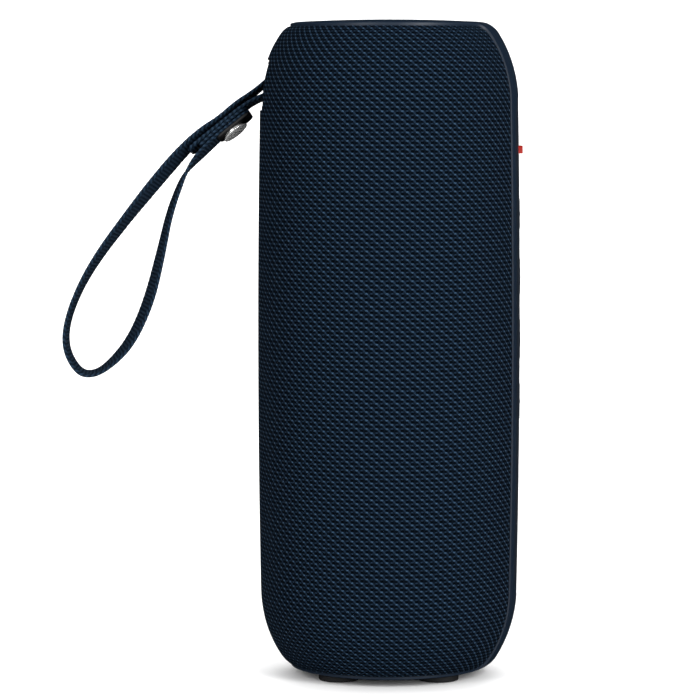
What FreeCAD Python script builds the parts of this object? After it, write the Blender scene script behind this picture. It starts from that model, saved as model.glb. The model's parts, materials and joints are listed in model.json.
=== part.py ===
"""Portable bluetooth speaker: a fabric-wrapped round-ended cylinder with a wrist strap.

Millimetres.  Z is up, +X is the side with the buttons, -X the side with the strap, -Y the front.
The origin is on the floor, under the middle of the body.
"""
import FreeCAD, Part
import math
import os
import Sketcher
from FreeCAD import Placement, Rotation, Vector

SIZES = {
    # body outline, a profile of tangent arcs turned about Z
    "body_radius": 37.75,
    "body_height": 187.0,
    "dome_radius": 500.0,
    "end_corner": 6.8,
    "end_centre": 25.6,
    "shoulder_radius": 38.0,
    "side_radius": 3600.0,
    # skins, each measured inwards from the outline
    "fabric_inset": 0.5,
    "fabric_thickness": 0.8,
    "glue": 0.1,
    "shell_wall": 1.6,
    "carrier_wall": 2.5,
    # smooth frame: the button strip and the two end discs
    "strip_half_width": 13.1,
    "strip_flare": 5.0,
    "disc_radius": 28.3,
    "panel_half_width": 9.3,
    "panel_half_length": 72.0,
    "panel_inset": 0.1,
    # feet
    "foot_proud": 1.2,
    "foot_radius": 5.8,
    "foot_sink": 0.9,
    "foot_offset": 14.2,
    # sealed chamber that carries the drivers, measured from the outline
    "chamber_inset": 5.4,
    "chamber_end_room": 17.5,
    "driver_bay": 16.75,
    "board_bay": 14.95,
    "strap_bay": 8.15,
    "chamber_wall": 2.2,
    "chamber_end_wall": 4.5,
    "gasket": 0.8,
    "baffle": 2.4,
    "baffle_half_width": 22.6,
    "baffle_end_land": 2.5,
    # drivers and passive radiator
    "driver_offset": 51.0,
    "driver_flange": 22.4,
    "driver_hole": 19.8,
    "driver_room": 0.3,
    "flange_height": 1.2,
    "radiator_round": 12.6,
    "radiator_reach": 23.0,
    "radiator_roll": 6.6,
    "radiator_plate": 1.2,
    "slot_width": 2.6,
    "slot_pitch": 5.0,
    # battery
    "cell_radius": 9.2,
    "cell_length": 65.0,
    "cell_gap": 0.8,
    "cell_centre_x": -3.4,
    "cell_centre_y": -1.5,
    # boards, stacked outwards from the chamber's flat on the button side
    "board_stand": 1.2,
    "board_thickness": 1.6,
    "component_room": 3.4,
    "bracket_wall": 1.2,
    "bracket_half_width": 15.4,
    "button_board": 1.2,
    "switch_height": 2.0,
    # buttons, at heights from the middle of the body
    "button_travel": 0.4,
    "button_play": 0.15,
    "button_skirt": 0.8,
    "power_proud": 1.0,
    "power_width": 9.0,
    "power_height": 2.2,
    "power_level": 56.4,
    "pairing_level": 38.0,
    "volume_up_level": 20.0,
    "play_level": 2.0,
    "volume_down_level": -16.0,
    "pairing_radius": 4.2,
    "volume_radius": 5.0,
    "play_radius": 5.6,
    "light_level": 48.5,
    # ports at the back
    "port_level": -56.0,
    "port_half_width": 9.5,
    "port_half_height": 11.0,
    "port_rim": 0.9,
    "port_floor_depth": 4.15,
    "cover_play": 0.2,
    "socket_reach": 7.0,
    # strap pocket and its bar
    "bar_height": 169.25,
    "bar_depth": 3.85,
    "bar_radius": 1.0,
    "pocket_half_width": 7.2,
    "pocket_low": 5.8,
    "pocket_high": 6.3,
    "pocket_depth": 6.75,
    "pocket_wall": 1.2,
    "pocket_inset": 0.6,
    # strap
    "strap_width": 8.0,
    "strap_thickness": 1.2,
    "strap_play": 0.2,
    "lining": 0.4,
    "lining_length": 12.0,
    "stub_gap": 1.0,
    "stub_lead": 1.5,
    "stub_reach": 18.0,
    "snap_from_tip": 6.2,
    "snap_radius": 4.0,
    "snap_height": 1.3,
    "snap_post": 1.1,
}

# Route of the strap's long run in the XZ plane, on from the top of the bar to the tip of its tab.
STRAP_ROUTE = [
    (-48.2, 159.8), (-60.8, 148.6), (-73.6, 133.4), (-85.6, 117.8),
    (-92.0, 104.6), (-93.6, 94.5), (-89.6, 86.2), (-85.0, 85.4), (-79.9, 88.9),
    (-74.0, 96.2), (-69.0, 107.5), (-65.6, 121.0), (-62.0, 134.8), (-55.4, 148.6),
    (-40.0, 160.7),
]

doc = FreeCAD.newDocument("Speaker")
X, Y, Z = Vector(1, 0, 0), Vector(0, 1, 0), Vector(0, 0, 1)


class Size:
    """A length together with the spreadsheet expression that gives it."""

    def __init__(self, value, text=None):
        self.value = float(value)
        self.text = text or "(%r)" % self.value

    def __add__(self, other):
        other = sized(other)
        return Size(self.value + other.value, "(%s + %s)" % (self.text, other.text))

    def __sub__(self, other):
        other = sized(other)
        return Size(self.value - other.value, "(%s - %s)" % (self.text, other.text))

    def __mul__(self, other):
        other = sized(other)
        return Size(self.value * other.value, "(%s * %s)" % (self.text, other.text))

    def __truediv__(self, other):
        other = sized(other)
        return Size(self.value / other.value, "(%s / %s)" % (self.text, other.text))

    def __radd__(self, other):
        return sized(other) + self

    def __rsub__(self, other):
        return sized(other) - self

    def __neg__(self):
        return Size(0) - self


def sized(number):
    return number if isinstance(number, Size) else Size(number)


class Sizes:
    """The spreadsheet's cells as attributes."""

    def __init__(self, table):
        self.sheet = doc.addObject("Spreadsheet::Sheet", "Dims")
        for row, (name, value) in enumerate(table.items(), 1):
            self.sheet.set("A%d" % row, name)
            self.sheet.set("B%d" % row, str(value))
            self.sheet.setAlias("B%d" % row, name)
            setattr(self, name, Size(value, "Dims.%s" % name))


d = Sizes(SIZES)
doc.recompute()

# Places that several pieces share.
middle = d.foot_proud + d.body_height / 2
skin_under = d.fabric_inset + d.fabric_thickness
shell_inset = skin_under + d.glue
shell_under = shell_inset + d.shell_wall
chamber_radius = d.body_radius - d.chamber_inset
chamber_half = d.body_height / 2 - d.chamber_end_room
chamber_flat = d.body_radius - d.driver_bay
chamber_right = d.body_radius - d.board_bay
chamber_left = d.body_radius - d.strap_bay
baffle_back = chamber_flat + d.gasket
baffle_face = baffle_back + d.baffle
board_back = chamber_right + d.board_stand
board_face = board_back + d.board_thickness
bracket_back = board_face + d.component_room
button_board_back = bracket_back + d.bracket_wall
switch_foot = button_board_back + d.button_board
switch_top = switch_foot + d.switch_height
bar_x = d.bar_depth - d.body_radius
pocket_floor = d.pocket_depth - d.body_radius
port_floor = d.body_radius - d.port_floor_depth
beyond = d.body_radius + 10


def bind(piece, **sizes):
    for name, size in sizes.items():
        piece.setExpression(name.replace("_", "."), sized(size).text)


def put(piece, x=0, y=0, z=0, along=Z):
    """Stand a piece made about Z at a point, with its Z axis along a direction."""
    piece.Placement = Placement(Vector(0, 0, 0), Rotation(Z, along))
    bind(piece, Placement_Base_x=x, Placement_Base_y=y, Placement_Base_z=z)
    return piece


def slab(name, x, y, z):
    """A box between two x, two y and two z."""
    piece = doc.addObject("Part::Box", name)
    bind(piece, Length=sized(x[1]) - x[0], Width=sized(y[1]) - y[0], Height=sized(z[1]) - z[0])
    return put(piece, x[0], y[0], z[0])


def rod(name, radius, length, at, along=Z):
    piece = doc.addObject("Part::Cylinder", name)
    bind(piece, Radius=radius, Height=length)
    return put(piece, *at, along=along)


def fused(name, *pieces):
    joined = doc.addObject("Part::MultiFuse", name)
    joined.Shapes = list(pieces)
    return joined


def shared(name, *pieces):
    common = doc.addObject("Part::MultiCommon", name)
    common.Shapes = list(pieces)
    return common


def cut(name, base, *tools):
    left = doc.addObject("Part::Cut", name)
    left.Base = base
    left.Tool = tools[0] if len(tools) == 1 else fused(name + "Tools", *tools)
    return left


def grouped(name, pieces):
    group = doc.addObject("Part::Compound", name)
    group.Links = list(pieces)
    return group


def new_sketch(body, plane_role):
    sketch = body.newObject("Sketcher::SketchObject", body.Name + "Sketch")
    plane = [item for item in body.Origin.OriginFeatures if item.Role == plane_role][0]
    sketch.AttachmentSupport = (plane, "")
    sketch.MapMode = "FlatFace"
    return sketch


def dimension(sketch, kind, *geometry, size):
    number = sketch.addConstraint(Sketcher.Constraint(kind, *geometry, sized(size).value))
    sketch.setExpression("Constraints[%d]" % number, sized(size).text)


def revolve(body, sketch):
    turn = body.newObject("PartDesign::Revolution", body.Name + "Turn")
    turn.Profile = sketch
    turn.ReferenceAxis = (sketch, ["V_Axis"])
    turn.Angle = 360
    return body


def turned(name, outline, at, along):
    """A ring or disc turned about its own Z from (radius, height) corners."""
    body = doc.addObject("PartDesign::Body", name)
    sketch = new_sketch(body, "XZ_Plane")
    corners = [(sized(radius), sized(height)) for radius, height in outline]
    points = [Vector(radius.value, height.value, 0) for radius, height in corners]
    count = len(points)
    sketch.addGeometry([Part.LineSegment(points[i], points[(i + 1) % count]) for i in range(count)])
    for i, (radius, height) in enumerate(corners):
        sketch.addConstraint(Sketcher.Constraint("Coincident", i, 2, (i + 1) % count, 1))
        if radius.value == 0:
            sketch.addConstraint(Sketcher.Constraint("PointOnObject", i, 1, -2))
        else:
            dimension(sketch, "DistanceX", -1, 1, i, 1, size=radius)
        if height.value == 0:
            sketch.addConstraint(Sketcher.Constraint("PointOnObject", i, 1, -1))
        elif height.value > 0:
            dimension(sketch, "DistanceY", -1, 1, i, 1, size=height)
        else:
            dimension(sketch, "DistanceY", i, 1, -1, 1, size=-height)
    return put(revolve(body, sketch), *at, along=along)


def pebble(name, inset):
    """The body's outline moved inwards by inset and turned into a solid.

    Half of the outline is a flat dome, a tight corner, a broad shoulder and a barely bowed side,
    each arc tangent to the next; moving it inwards keeps the centres and shortens the radii.
    """
    inset = sized(inset)
    radius, half = d.body_radius.value, d.body_height.value / 2
    dome, corner, shoulder, side = (
        size.value for size in (d.dome_radius, d.end_corner, d.shoulder_radius, d.side_radius))
    dome_centre = Vector(0, half - dome, 0)
    side_centre = Vector(radius - side, 0, 0)
    corner_x = d.end_centre.value
    corner_centre = Vector(corner_x, dome_centre.y + math.sqrt((dome - corner) ** 2 - corner_x ** 2), 0)
    span = side_centre - corner_centre
    to_corner, to_side, length = shoulder - corner, side - shoulder, span.Length
    step = (to_corner ** 2 - to_side ** 2 + length ** 2) / (2 * length)
    unit = span / length
    lift = Vector(-unit.y, unit.x, 0) * math.sqrt(to_corner ** 2 - step ** 2)
    foot = corner_centre + unit * step
    shoulder_centre = min((foot + lift, foot - lift), key=lambda point: point.y)

    def along(centre, towards, reach):
        return centre + (towards - centre).normalize() * (reach - inset.value)

    def flipped(point):
        return Vector(point.x, -point.y, 0)

    def arc(centre, reach, start, end):
        turns = [math.atan2(point.y - centre.y, point.x - centre.x) for point in (start, end)]
        return Part.ArcOfCircle(Part.Circle(centre, Z, reach - inset.value), *turns)

    top = Vector(0, half - inset.value, 0)
    dome_end = along(dome_centre, corner_centre, dome)
    corner_end = along(shoulder_centre, corner_centre, shoulder)
    shoulder_end = along(side_centre, shoulder_centre, side)
    body = doc.addObject("PartDesign::Body", name)
    sketch = new_sketch(body, "XZ_Plane")
    sketch.addGeometry([
        arc(flipped(dome_centre), dome, flipped(top), flipped(dome_end)),
        arc(flipped(corner_centre), corner, flipped(dome_end), flipped(corner_end)),
        arc(flipped(shoulder_centre), shoulder, flipped(corner_end), flipped(shoulder_end)),
        arc(side_centre, side, flipped(shoulder_end), shoulder_end),
        arc(shoulder_centre, shoulder, shoulder_end, corner_end),
        arc(corner_centre, corner, corner_end, dome_end),
        arc(dome_centre, dome, dome_end, top),
        Part.LineSegment(top, flipped(top)),
    ])
    for i in range(6):
        sketch.addConstraint(Sketcher.Constraint("Tangent", i, 2, i + 1, 1))
    sketch.addConstraint([
        Sketcher.Constraint("Coincident", 6, 2, 7, 1),
        Sketcher.Constraint("Coincident", 7, 2, 0, 1),
        Sketcher.Constraint("PointOnObject", 7, 1, -2),
        Sketcher.Constraint("PointOnObject", 7, 2, -2),
        Sketcher.Constraint("PointOnObject", 0, 3, -2),
        Sketcher.Constraint("PointOnObject", 6, 3, -2),
        Sketcher.Constraint("PointOnObject", 3, 3, -1),
    ])
    drop = d.dome_radius - d.body_height / 2
    dimension(sketch, "DistanceY", 6, 3, -1, 1, size=drop)
    dimension(sketch, "DistanceY", -1, 1, 0, 3, size=drop)
    dimension(sketch, "DistanceX", 3, 3, -1, 1, size=d.side_radius - d.body_radius)
    dimension(sketch, "Radius", 3, size=d.side_radius - inset)
    for corner_arc, shoulder_arc, dome_arc in ((1, 2, 0), (5, 4, 6)):
        dimension(sketch, "DistanceX", -1, 1, corner_arc, 3, size=d.end_centre)
        dimension(sketch, "Radius", corner_arc, size=d.end_corner - inset)
        dimension(sketch, "Radius", shoulder_arc, size=d.shoulder_radius - inset)
        dimension(sketch, "Radius", dome_arc, size=d.dome_radius - inset)
    return put(revolve(body, sketch), z=middle)


def racetrack(name, radius, reach, low, high):
    """A round-ended slab standing in the XZ plane between two y."""
    thick = sized(high) - low
    ends = [rod(name + end, radius, thick, (0, low, middle + level), Y)
            for end, level in (("Top", reach), ("Bottom", -reach))]
    return fused(name, slab(name + "Bar", (-radius, radius), (low, high), (middle - reach, middle + reach)),
                 *ends)


outline = pebble("Outline", 0)
fabric_outline = pebble("FabricOutline", d.fabric_inset)
skin_hollow = pebble("SkinHollow", skin_under)
shell_outline = pebble("ShellOutline", shell_inset)
shell_hollow = pebble("ShellHollow", shell_under)
carrier_outline = pebble("CarrierOutline", shell_under + d.glue)
carrier_hollow = pebble("CarrierHollow", shell_under + d.carrier_wall)
panel_outline = pebble("PanelOutline", d.panel_inset)
power_outline = pebble("PowerOutline", -d.power_proud)
pocket_outline = pebble("PocketOutline", d.pocket_inset)


# ---- shapes that more than one piece is cut by --------------------------------------------------

def frame_area():
    """Where the smooth frame lies: a strip down +X that flares into a disc at each end."""
    disc = rod("FrameDisc", d.disc_radius, d.body_height * 2, (0, 0, middle - d.body_height))
    strip = slab("FrameStrip", (0, beyond), (-d.strip_half_width, d.strip_half_width),
                 (middle - d.body_height, middle + d.body_height))
    both = fused("FrameBoth", disc, strip)
    doc.recompute()
    inner_edges = [number for number, edge in enumerate(both.Shape.Edges, 1)
                   if edge.BoundBox.ZLength > 100 and 1 < edge.BoundBox.XMin < d.disc_radius.value - 0.5
                   and abs(abs(edge.BoundBox.YMin) - d.strip_half_width.value) < 0.01]
    area = doc.addObject("Part::Fillet", "FrameArea")
    area.Base = both
    area.Edges = [(number, d.strip_flare.value, d.strip_flare.value) for number in inner_edges]
    return area


def panel_area():
    """Where the button panel lies: a round-ended window in the strip."""
    reach = d.panel_half_length - d.panel_half_width
    ends = [rod("PanelEnd" + end, d.panel_half_width, beyond, (0, 0, middle + level), X)
            for end, level in (("Top", reach), ("Bottom", -reach))]
    bar = slab("PanelBar", (0, beyond), (-d.panel_half_width, d.panel_half_width),
               (middle - reach, middle + reach))
    return fused("PanelArea", bar, *ends)


def pocket_block(name, grown=0):
    """The strap pocket's outer block."""
    return slab(name, (-beyond, pocket_floor + d.pocket_wall + grown),
                (-d.pocket_half_width - d.pocket_wall - grown, d.pocket_half_width + d.pocket_wall + grown),
                (d.bar_height - d.pocket_low - d.pocket_wall - grown,
                 d.bar_height + d.pocket_high + d.pocket_wall + grown))


def port_block(name, low):
    """The port bay's outer block, from a depth outwards."""
    return slab(name, (-d.port_half_width, d.port_half_width), (low, beyond),
                (middle + d.port_level - d.port_half_height, middle + d.port_level + d.port_half_height))


frame = frame_area()
panel = panel_area()
pocket = pocket_block("PocketBlock")
port_bay = port_block("PortBay", port_floor)
foot_places = [(d.foot_offset * x, d.foot_offset * y) for x in (-1, 1) for y in (-1, 1)]
foot_rods = [rod("Foot", d.foot_radius, d.foot_proud + shell_inset + d.foot_sink, (x, y, 0))
             for x, y in foot_places]


# ---- skins ---------------------------------------------------------------------------------------

def fabric_cover():
    return cut("fabric_cover", fabric_outline, skin_hollow, frame, pocket, port_bay)


def control_frame():
    skin = cut("FrameSkin", outline, skin_hollow, panel, *foot_rods)
    return shared("control_frame", skin, frame)


def grille_shells():
    """The perforated carrier under the fabric, split into a front and a rear half."""
    window = slab("KeyWindow", (shell_under, beyond), (-8, 8), (middle - 26, middle + 66))
    slots = []
    for side, levels in ((-1, (-d.driver_offset, d.driver_offset)), (1, (sized(0),))):
        for level in levels:
            for step in range(-3, 4):
                x = d.slot_pitch * step
                half = 17 - 0.28 * step * step if side < 0 else 36 - 0.4 * step * step
                y = (-beyond, -chamber_flat) if side < 0 else (chamber_flat, beyond)
                slots.append(slab("Slot", (x - d.slot_width / 2, x + d.slot_width / 2), y,
                                  (middle + level - half, middle + level + half)))
    whole = cut("ShellWhole", shell_outline, shell_hollow, window, pocket, port_bay, *slots, *foot_rods)
    wide = (-beyond, beyond)
    tall = (-beyond, d.body_height * 2)
    return [shared("grille_shell_front", whole, slab("FrontHalf", wide, (-beyond, 0), tall)),
            shared("grille_shell_rear", whole, slab("RearHalf", wide, (0, beyond), tall))]


# ---- sealed chamber ------------------------------------------------------------------------------

def chamber_block(name, wall, end_wall, y_reach):
    radius = chamber_radius - wall
    half = chamber_half - end_wall
    drum = rod(name + "Drum", radius, half * 2, (0, 0, middle - half))
    flats = slab(name + "Flats", (wall - chamber_left, chamber_right - wall), (-y_reach, y_reach),
                 (middle - half, middle + half))
    return shared(name, drum, flats)


chamber_solid = chamber_block("ChamberSolid", sized(0), sized(0), chamber_flat)
chamber_hollow = chamber_block("ChamberHollow", d.chamber_wall, d.chamber_end_wall, chamber_radius)


def screw(name, shank, length, head, head_height, at, along):
    """A pan-head screw: its head's seat is at the point, and its shank runs back from there."""
    profile = [(0, -length), (shank, -length), (shank, 0), (head, 0), (head, head_height), (0, head_height)]
    return turned(name, profile, at, along)


end_screw_level = chamber_half - d.chamber_end_wall / 2
screw_places = [(x, side_level) for x in (-16, 16) for side_level in (-end_screw_level, end_screw_level)]
baffle_screws = [
    screw("BaffleScrew", 0.9, d.baffle + d.gasket + 6, 1.7, 1.1,
          (x, baffle_face * side, middle + level), Y * side)
    for side in (-1, 1) for x, level in screw_places]
board_screws = [
    screw("BoardScrew", 0.9, d.board_thickness + d.board_stand + d.chamber_wall / 2, 1.8, 1.0,
          (board_face, y, middle + level), X)
    for y in (-11.3, 11.3) for level in (-42, 42)]
carrier_screws = [
    screw("CarrierScrew", 1.1, d.carrier_wall + 3.0, 2.2, 1.4,
          (x, 0, middle + (chamber_half + d.carrier_wall) * end), Z * end)
    for x in (-10, 10) for end in (-1, 1)]


def chamber():
    stands = [rod("BoardStand", 2.0, d.board_stand, (chamber_right, y, middle + level), X)
              for y in (-11.3, 11.3) for level in (-42, 42)]
    box = fused("ChamberBox", cut("ChamberWalls", chamber_solid, chamber_hollow), *stands)
    return cut("chamber", box, *baffle_screws, *board_screws, *carrier_screws)


def rounded_plate(name, low, high, half_width, half_height, corner):
    """A plate in the XZ plane with rounded corners, as a sketch padded along Y."""
    inner = half_width - corner
    upper = half_height - corner
    pieces = [slab(name + "Wide", (-half_width, half_width), (low, high), (middle - upper, middle + upper)),
              slab(name + "Tall", (-inner, inner), (low, high), (middle - half_height, middle + half_height))]
    for x in (-inner, inner):
        for z in (-upper, upper):
            pieces.append(rod(name + "Corner", corner, sized(high) - low, (x, low, middle + z), Y))
    return fused(name, *pieces)


def baffle_plate(name, side, near, far):
    low, high = (-far, -near) if side < 0 else (near, far)
    return rounded_plate(name, low, high, d.baffle_half_width, chamber_half - d.baffle_end_land + 0.5, 7)


def driver_openings(name):
    return [rod(name, d.driver_hole, d.driver_bay, (0, -beyond + 10, middle + level), Y)
            for level in (-d.driver_offset, d.driver_offset)]


def baffles():
    radiator_hole = racetrack("RadiatorHole", d.radiator_round + d.radiator_roll / 2, d.radiator_reach,
                              chamber_flat - 1, beyond)
    stands = [rod("PortStand", 1.8, 1.2, (x, baffle_face, middle + d.port_level), Y) for x in (-7, 7)]
    front = cut("front_baffle", baffle_plate("FrontPlate", -1, baffle_back, baffle_face),
                *driver_openings("DriverHole"), *baffle_screws[:4])
    rear_plate = cut("RearPlateOpen", baffle_plate("RearPlate", 1, baffle_back, baffle_face),
                     radiator_hole, *baffle_screws[4:])
    return [front, fused("rear_baffle", rear_plate, *stands)]


def gaskets():
    """Foam frames between the chamber's rims and the baffles."""
    made = []
    for name, side, screws in (("front_gasket", -1, baffle_screws[:4]), ("rear_gasket", 1, baffle_screws[4:])):
        plate = baffle_plate(name + "Plate", side, chamber_flat, baffle_back)
        made.append(cut(name, plate, chamber_hollow, *screws))
    return made


def carriers():
    """End pieces that centre the chamber in the shells."""
    made = []
    for name, end in (("top_carrier", 1), ("bottom_carrier", -1)):
        floor = chamber_half * end
        under = (chamber_half + d.carrier_wall) * end
        tip = d.body_height * end
        across = (-beyond, beyond)
        span = (middle + floor, middle + tip) if end > 0 else (middle + tip, middle + floor)
        room = (middle + under, middle + tip) if end > 0 else (middle + tip, middle + under)
        solid = shared(name + "Solid", carrier_outline, slab(name + "Span", across, across, span))
        hollow = shared(name + "Hollow", carrier_hollow, slab(name + "Room", across, across, room))
        eye = rod(name + "Eye", 6, d.body_height, (0, 0, middle - d.body_height / 2))
        made.append(cut(name, solid, hollow, eye, pocket_block(name + "Pocket", 0.2), *carrier_screws))
    return made


# ---- drivers and passive radiator ----------------------------------------------------------------

def driver(name, level):
    """One driver facing -Y: heights are measured outwards from the baffle's face."""
    at = (0, -baffle_face, middle + level)
    flange, hole = d.driver_flange, d.driver_hole - d.driver_room
    rise = d.flange_height
    basket = turned("driver_%s_basket" % name, [
        (18.0, rise), (flange, rise), (flange, 0), (hole, 0), (13.6, -13.5), (7.6, -13.5), (7.6, -12.0),
        (12.4, -12.0), (18.0, 0)], at, -Y)
    magnet = turned("driver_%s_magnet" % name, [
        (0, -23.0), (13.6, -23.0), (13.6, -13.5), (8.3, -13.5), (8.3, -20.5), (6.2, -20.5), (6.2, -13.0),
        (0, -13.0)], at, -Y)
    cone = turned("driver_%s_cone" % name, [
        (0, -4.6), (4.2, -5.4), (7.4, -7.6), (14.6, -0.9), (16.4, -0.9), (16.4, -1.4), (14.8, -1.4),
        (7.3, -9.0), (7.3, -17.0), (6.8, -17.0), (6.8, -8.4), (4.0, -6.1), (0, -5.2)], at, -Y)
    surround = turned("driver_%s_surround" % name, [
        (15.0, -0.9), (15.0, -0.4), (16.3, -0.4), (16.4, rise), (17.1, rise + 1.1), (18.1, rise + 1.5),
        (19.1, rise + 1.1), (19.5, rise + 0.4), (flange - 0.4, rise + 0.4), (flange - 0.4, rise),
        (19.2, rise), (18.8, rise + 0.7), (18.1, rise + 1.05), (17.4, rise + 0.7), (16.9, rise - 0.2),
        (16.8, -0.9)], at, -Y)
    return [basket, magnet, cone, surround]


def radiator():
    round_, reach = d.radiator_round, d.radiator_reach
    face = baffle_face
    land = racetrack("RadiatorLand", round_ + d.radiator_roll, reach, face, face + 0.8)
    roll = cut("RadiatorRoll", racetrack("RollOuter", round_ + 4.2, reach, face, face + 2.8),
               racetrack("RollInner", round_ + 1.4, reach, face, face + 2.8))
    surround = cut("radiator_surround", fused("RadiatorRubber", land, roll),
                   racetrack("RubberHole", round_, reach, face - 1, face + 5))
    plate = racetrack("radiator_plate", round_, reach, face, face + d.radiator_plate)
    weight = slab("radiator_weight", (-5, 5), (face - 2, face), (middle - 14, middle + 14))
    return [surround, plate, weight]


# ---- battery -------------------------------------------------------------------------------------

def battery():
    radius, length = d.cell_radius, d.cell_length
    x, y = d.cell_centre_x, d.cell_centre_y
    low = middle - length / 2
    centres = [x - radius - d.cell_gap / 2, x + radius + d.cell_gap / 2]
    cells = grouped("battery_cells", [rod("Cell", radius, length, (centre, y, low)) for centre in centres])
    behind = y + radius
    shelf = slab("HolderPlate", (-beyond, beyond), (behind, behind + 2.2), (low - 2.4, low + length + 2.4))
    side = radius * 2 + d.cell_gap / 2
    stops = [slab("HolderStop", (x - side, x + side), (y - radius + 0.5, behind), (z, z + 1.8))
             for z in (low - 1.9, low + length + 0.1)]
    holder = fused("battery_holder", shared("HolderShelf", shelf, chamber_hollow), *stops)
    front = y - radius
    board = slab("battery_board", (centres[0], centres[1]), (front - 1.2, front), (middle - 16, middle + 16))
    return [cells, holder, board]


# ---- boards --------------------------------------------------------------------------------------

def boards():
    half_board = 13.6
    board = cut("main_board", slab("MainBoardPlate", (board_back, board_face), (-half_board, half_board),
                                   (middle - 45, middle + 45)), *board_screws)
    can = slab("radio_can", (board_face, board_face + 2.0), (-7, 7), (middle + 20, middle + 36))
    chips = grouped("amplifier_chips", [
        slab("Chip", (board_face, board_face + 1.1), (-4, 4), (middle + level - 4, middle + level + 4))
        for level in (8, -8)])
    capacitors = grouped("capacitors", [
        rod("Capacitor", 2.4, 2.9, (board_face, y, middle + level), X)
        for y in (-9.5, 9.5) for level in (-4, 8)])
    link = slab("board_link", (board_face, button_board_back), (-4, 4), (middle - 30, middle - 24))
    half = d.bracket_half_width
    low, high = middle - 34, middle + 68
    plate = slab("BracketPlate", (bracket_back, button_board_back), (-half, half), (low, high))
    legs = [slab("BracketLeg", (chamber_right, bracket_back), y, (low, high))
            for y in ((-half, -half + d.bracket_wall), (half - d.bracket_wall, half))]
    passage = slab("LinkPassage", (board_face, button_board_back), (-4.3, 4.3), (middle - 30.3, middle - 23.7))
    bracket = cut("button_bracket", fused("BracketWhole", plate, *legs), passage)
    button_board = slab("button_board", (button_board_back, switch_foot), (-9, 9), (middle - 31, middle + 66))
    return [board, grouped("board_screws", board_screws), can, chips, capacitors, link, bracket, button_board]


BUTTONS = {
    "power": d.power_level,
    "pairing": d.pairing_level,
    "volume_up": d.volume_up_level,
    "play": d.play_level,
    "volume_down": d.volume_down_level,
}
pip_radius = 1.4
pip_end = switch_foot + 0.6 + d.button_travel + 0.05
skirt_back = switch_top + d.button_travel + 0.2
skirt_face = skirt_back + 1.0


def switches():
    made = []
    for level in BUTTONS.values():
        body = slab("SwitchBody", (switch_foot, switch_top), (-3, 3), (middle + level - 3, middle + level + 3))
        well = rod("SwitchWell", pip_radius + 0.2, 5, (switch_foot + 0.6, 0, middle + level), X)
        made.append(cut("Switch", body, well))
    return grouped("button_switches", made)


def pip(level):
    return rod("Pip", pip_radius, skirt_back - pip_end, (pip_end, 0, middle + level), X)


def round_button(name, level, radius):
    """A cap that follows the strip's curve, with a skirt and the pip that works its switch."""
    z = middle + level
    cap = shared(name + "Cap", rod(name + "Rod", radius, beyond, (skirt_back, 0, z), X), outline)
    skirt = rod(name + "Skirt", radius + d.button_skirt, skirt_face - skirt_back, (skirt_back, 0, z), X)
    return fused(name + "_button", cap, skirt, pip(level))


def power_button():
    """A narrow bar that stands proud of the strip."""
    z = middle + d.power_level
    half, tall, skirt = d.power_width / 2, d.power_height / 2, d.button_skirt
    block = slab("PowerBlock", (skirt_back, beyond), (-half, half), (z - tall, z + tall))
    cap = shared("PowerCap", block, power_outline)
    base = slab("PowerSkirt", (skirt_back, skirt_face), (-half - skirt, half + skirt),
                (z - tall - skirt, z + tall + skirt))
    return fused("power_button", cap, base, pip(d.power_level))


ROUND_BUTTONS = {
    "pairing": d.pairing_radius,
    "volume_up": d.volume_radius,
    "play": d.play_radius,
    "volume_down": d.volume_radius,
}


def key_panel():
    play, z = d.button_play, middle + d.power_level
    half, tall = d.power_width / 2 + play, d.power_height / 2 + play
    holes = [slab("PowerHole", (0, beyond), (-half, half), (z - tall, z + tall)),
             rod("LightHole", 0.9, beyond, (0, 0, middle + d.light_level), X)]
    holes += [rod("KeyHole", radius + play, beyond, (0, 0, middle + BUTTONS[name]), X)
              for name, radius in ROUND_BUTTONS.items()]
    skin = cut("PanelSkin", panel_outline, skin_hollow, *holes)
    return shared("key_panel", skin, panel)


def status_light():
    z = middle + d.light_level
    lamp = slab("status_lamp", (switch_foot, switch_foot + 0.7), (-0.8, 0.8), (z - 0.6, z + 0.6))
    pipe = shared("light_pipe", rod("LightRod", 0.9, beyond, (switch_foot + 0.7, 0, z), X), panel_outline)
    return [lamp, pipe]


# ---- ports ---------------------------------------------------------------------------------------

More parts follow.
